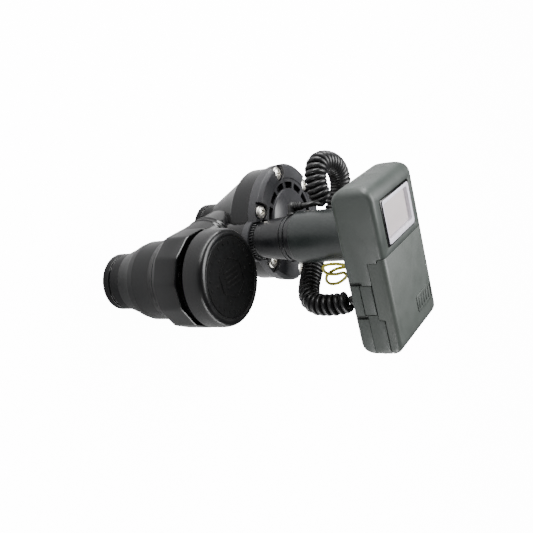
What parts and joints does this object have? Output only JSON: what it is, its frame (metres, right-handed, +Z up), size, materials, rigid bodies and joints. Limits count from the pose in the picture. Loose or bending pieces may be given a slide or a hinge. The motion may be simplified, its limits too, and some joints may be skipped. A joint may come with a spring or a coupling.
{
  "type": "anti-siphon irrigation valve with timer",
  "caption": "Two-legged anti-siphon irrigation valve with vent cap, screwed bonnet and a solenoid neck carrying a battery timer with a curly cord.",
  "frame": {"origin": "centre of the inlet socket's mouth, in the plane both sockets end in", "axes": "+Z up both legs towards the controller, -X from the inlet to the outlet leg, +Y towards the controller's display end"},
  "size_m": [0.1676, 0.1137, 0.1661],
  "materials": {
    "valve_black": "glossy",
    "bonnet_black": "satin",
    "stainless": "polished",
    "dark_rubber": "matte",
    "brushed": "brushed",
    "spring_steel": "drawn",
    "natural_plastic": "satin",
    "cap_black": "satin",
    "neck_black": "satin",
    "winding": "varnished",
    "cord_black": "satin",
    "case_dark": "fine texture",
    "case_grey": "fine texture",
    "cover_grey": "fine texture",
    "lens": "clear",
    "frame_black": "matte",
    "lcd": "satin",
    "board": "solder mask",
    "button_grey": "matte",
    "battery": "satin sleeve",
    "jumper": "satin"
  },
  "bodies": {
    "valve": {"valve_body": "valve_black", "bonnet": "bonnet_black", "bonnet_screws": "stainless", "diaphragm": "dark_rubber", "diaphragm_spring": "spring_steel", "vb_seat_ring": "bonnet_black", "vb_cap": "cap_black", "solenoid_base": "neck_black", "solenoid_seal": "dark_rubber", "solenoid_housing": "neck_black", "solenoid_winding": "winding", "core_tube": "brushed", "core_stop": "brushed", "plunger_spring": "spring_steel", "solenoid_gland": "cord_black", "adapter_tube": "case_dark", "case_housing": "case_grey", "back_tray": "case_dark", "case_gasket": "dark_rubber", "case_screws": "stainless", "latch_tab_left": "case_dark", "latch_tab_right": "case_dark", "hinge_pin": "stainless", "window_lens": "lens", "window_frame": "frame_black", "lcd_panel": "lcd", "circuit_board": "board", "battery": "battery", "battery_snap": "frame_black", "case_gland": "cord_black", "wire_grommet": "cord_black", "curly_cord": "cord_black", "cord_tail_solenoid": "cord_black", "cord_tail_case": "cord_black", "jumper_wire": "jumper"},
    "cover": {"front_cover": "cover_grey"},
    "float": {"vb_float": "natural_plastic", "vb_float_seal": "dark_rubber"},
    "poppet": {"diaphragm_plate": "brushed", "seat_disc": "dark_rubber"},
    "plunger": {"plunger": "brushed"},
    "key_1": {"button_1": "button_grey"},
    "key_2": {"button_2": "button_grey"},
    "key_3": {"button_3": "button_grey"},
    "key_4": {"button_4": "button_grey"}
  },
  "joints": [
    {"name": "cover_hinge", "type": "hinge", "parent": "valve", "child": "cover", "pos_m": [-0.0353, -0.0635, 0.153], "axis": [1, 0, 0], "range_deg": [0, 110]},
    {"name": "float_lift", "type": "slide", "parent": "valve", "child": "float", "axis": [0, 0, 1], "range_m": [0, 0.006]},
    {"name": "poppet_lift", "type": "slide", "parent": "valve", "child": "poppet", "axis": [0, 0, 1], "range_m": [0, 0.005], "stiffness_N_per_m": 300, "springref_m": -0.02, "deforming": ["diaphragm", "diaphragm_spring"]},
    {"name": "plunger_lift", "type": "slide", "parent": "valve", "child": "plunger", "axis": [0, 0, 1], "range_m": [0, 0.002], "stiffness_N_per_m": 400, "springref_m": -0.002, "deforming": ["plunger_spring"]},
    {"name": "key_1_press", "type": "slide", "parent": "valve", "child": "key_1", "axis": [0, 0, -1], "range_m": [0, 0.001], "stiffness_N_per_m": 300},
    {"name": "key_2_press", "type": "slide", "parent": "valve", "child": "key_2", "axis": [0, 0, -1], "range_m": [0, 0.001], "stiffness_N_per_m": 300},
    {"name": "key_3_press", "type": "slide", "parent": "valve", "child": "key_3", "axis": [0, 0, -1], "range_m": [0, 0.001], "stiffness_N_per_m": 300},
    {"name": "key_4_press", "type": "slide", "parent": "valve", "child": "key_4", "axis": [0, 0, -1], "range_m": [0, 0.001], "stiffness_N_per_m": 300}
  ]
}
